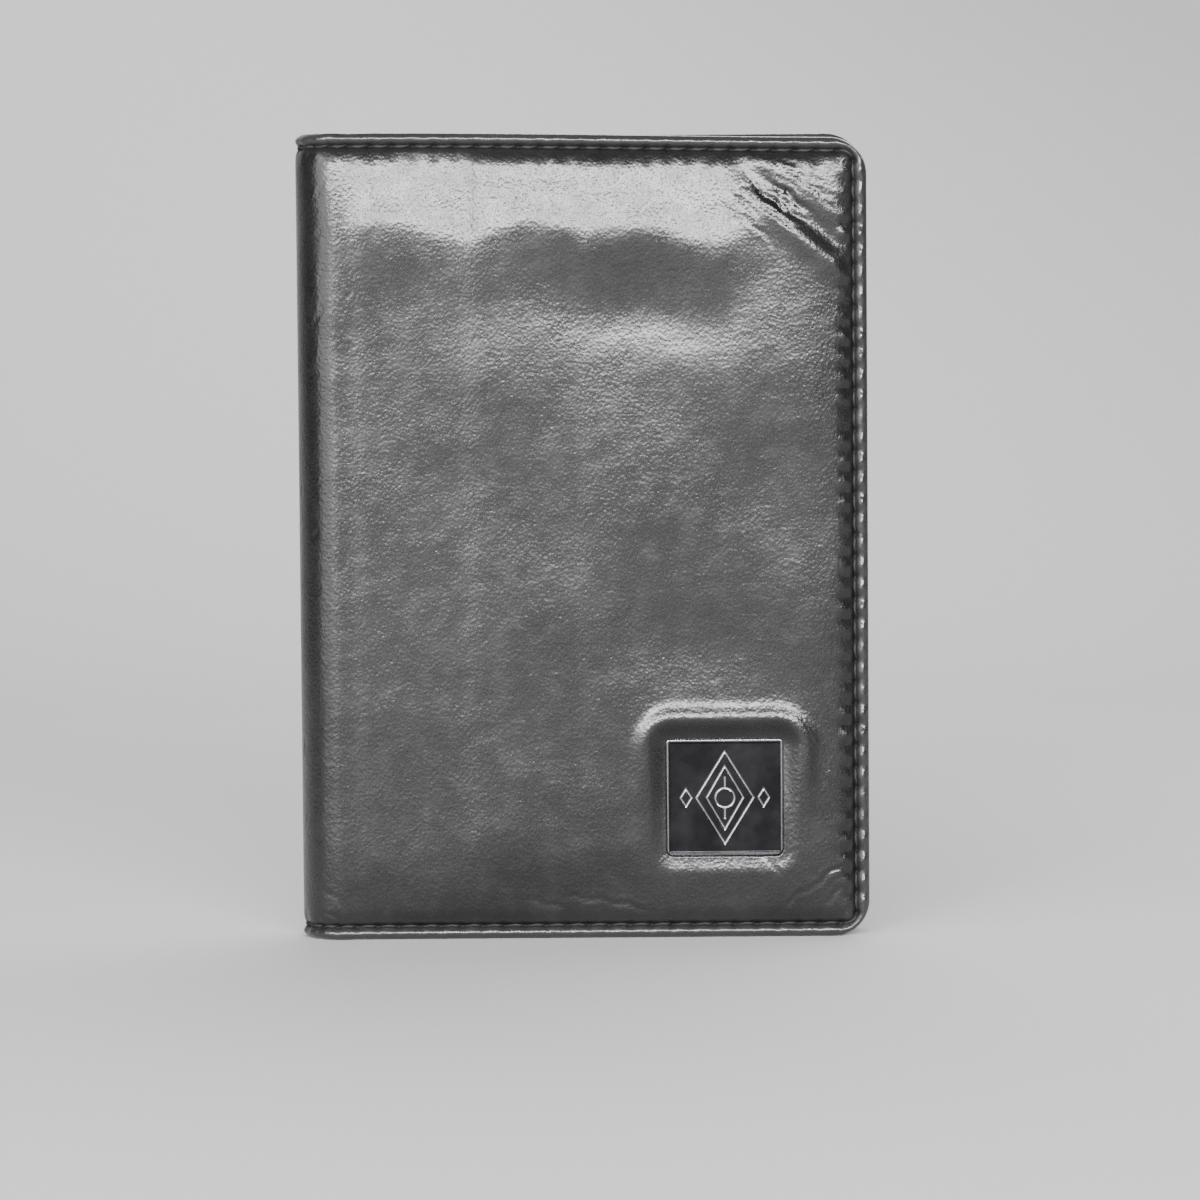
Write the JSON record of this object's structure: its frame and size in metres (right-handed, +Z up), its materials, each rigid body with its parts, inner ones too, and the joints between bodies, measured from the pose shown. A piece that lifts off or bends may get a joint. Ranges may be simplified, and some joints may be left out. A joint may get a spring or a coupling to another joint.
{
  "type": "business card case",
  "caption": "Upright bifold card case in black leather, padded covers with stitched edges, card slots, a gusseted card pocket and a square metal badge",
  "frame": {"origin": "middle of the closed case's footprint, on the plane its bottom edges stand on", "axes": "+Z up along the height, -X towards the spine and +X towards the free edge, -Y out of the front cover with the badge, +Y out of the back cover"},
  "size_m": [0.078, 0.013, 0.11],
  "materials": {
    "cover_leather": "smooth fine-grained black leather with a semi-gloss finish",
    "inner_leather": "thin smooth black leather, satin",
    "gusset_leather": "soft thin black leather, folded",
    "lining_fabric": "black twill, matte",
    "liner_fabric": "thin black taffeta",
    "padding": "soft open padding, off-white",
    "board": "grey-brown stiffening board",
    "spine_tape": "woven reinforcement tape",
    "thread": "waxed black thread",
    "badge_metal": "dark polished plating with fine scratches",
    "washer_steel": "plain sheet steel"
  },
  "bodies": {
    "back_cover": {"back_cover_leather": "cover_leather", "back_cover_foam": "padding", "back_cover_board": "board", "back_lining": "lining_fabric", "back_stitching": "thread", "slip_pocket_panel": "inner_leather", "card_pocket_panel": "inner_leather", "card_pocket_gusset_top": "gusset_leather", "card_pocket_gusset_bottom": "gusset_leather", "card_pocket_gusset_side": "gusset_leather", "card_pocket_stitching": "thread"},
    "spine": {"spine_leather": "cover_leather", "spine_reinforcement": "spine_tape", "spine_lining": "lining_fabric", "spine_stitching": "thread"},
    "front_cover": {"front_cover_leather": "cover_leather", "front_cover_foam": "padding", "front_cover_board": "board", "front_lining": "lining_fabric", "front_stitching": "thread", "rear_slot_strip": "inner_leather", "rear_slot_liner": "liner_fabric", "middle_slot_strip": "inner_leather", "middle_slot_liner": "liner_fabric", "front_slot_panel": "inner_leather", "badge_plate": "badge_metal", "badge_washer": "washer_steel"}
  },
  "joints": [
    {"name": "spine_fold", "type": "hinge", "parent": "back_cover", "child": "spine", "pos_m": [-0.0376, 0.00511, 0.055], "axis": [0, 0, -1], "range_deg": [0, 90]},
    {"name": "cover_fold", "type": "hinge", "parent": "spine", "child": "front_cover", "pos_m": [-0.0376, -0.00511, 0.055], "axis": [0, 0, -1], "range_deg": [0, 90]}
  ],
  "couplings": [
    {"joint": "cover_fold", "follows": "spine_fold", "ratio": 1}
  ]
}
